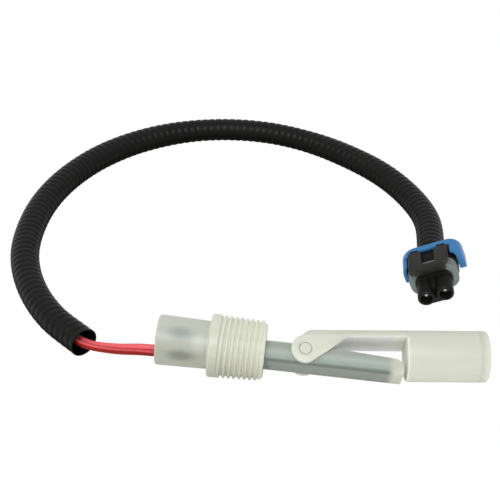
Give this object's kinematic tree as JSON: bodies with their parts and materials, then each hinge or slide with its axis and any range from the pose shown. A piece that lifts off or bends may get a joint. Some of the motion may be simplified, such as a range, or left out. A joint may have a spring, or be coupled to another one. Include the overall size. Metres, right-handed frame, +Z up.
{
  "type": "fluid level switch",
  "caption": "Side-mount float switch: pipe-threaded plug with a sealed reed stem, pivoting magnet float, and leads in conduit to a sealed two-way connector.",
  "frame": {"origin": "middle of the plug and float seen from above, on the surface they lie on, cord left out", "axes": "+X from the rear of the plug to the float's end, +Z up, +Y towards the side where the harness lies"},
  "size_m": [0.1824, 0.1779, 0.0223],
  "materials": {
    "natural_pp": "satin, milky translucent polypropylene",
    "float_pp": "satin, milky translucent polypropylene",
    "clear_potting": "cast, cloudy",
    "grey_potting": "cast",
    "reed_glass": "clear with a green tint",
    "plated_contact": "plated",
    "tinned_lead": "tinned",
    "crimp_brass": "plain",
    "grey_sleeve": "shrunk sleeve",
    "dark_sleeve": "shrunk sleeve",
    "ferrite": "sintered, dull",
    "red_insulation": "smooth extruded",
    "black_conduit": "corrugated, slight sheen",
    "black_housing": "moulded, fine grain",
    "grey_seal": "soft, matt",
    "tin_terminal": "tin plated",
    "blue_lock": "moulded, satin"
  },
  "bodies": {
    "root": {"plug_body": "natural_pp", "rear_potting": "clear_potting", "stem_potting": "grey_potting", "reed_glass": "reed_glass", "reed_blade_front": "plated_contact", "reed_blade_rear": "plated_contact", "lead_front": "tinned_lead", "lead_rear": "tinned_lead", "splice_a": "crimp_brass", "splice_b": "crimp_brass", "shrink_sleeve_a": "grey_sleeve", "shrink_sleeve_b": "dark_sleeve", "wire_a": "red_insulation", "wire_b": "red_insulation", "conduit": "black_conduit", "connector_housing": "black_housing", "interface_seal": "grey_seal", "wire_seal_a": "grey_seal", "wire_seal_b": "grey_seal", "terminal_a": "tin_terminal", "terminal_b": "tin_terminal"},
    "float": {"float_shell": "float_pp", "float_cap": "float_pp", "magnet": "ferrite", "magnet_plug": "natural_pp"},
    "latch": {"latch": "black_housing"},
    "lock": {"secondary_lock": "blue_lock"}
  },
  "joints": [
    {"name": "float_pivot", "type": "hinge", "parent": "root", "child": "float", "pos_m": [-0.00598, -0.00189, 0.0094], "axis": [0.0559, -0.5, 0.8642], "range_deg": [-12.8, 30]},
    {"name": "latch_flex", "type": "hinge", "parent": "root", "child": "latch", "pos_m": [0.03721, 0.05773, 0.01428], "axis": [-0.9269, -0.0243, -0.3746], "range_deg": [0, 6], "stiffness_Nm_per_rad": 0.002},
    {"name": "lock_slide", "type": "slide", "parent": "root", "child": "lock", "axis": [-0.0262, 0.9997, 0], "range_m": [0, 0.0025]}
  ]
}
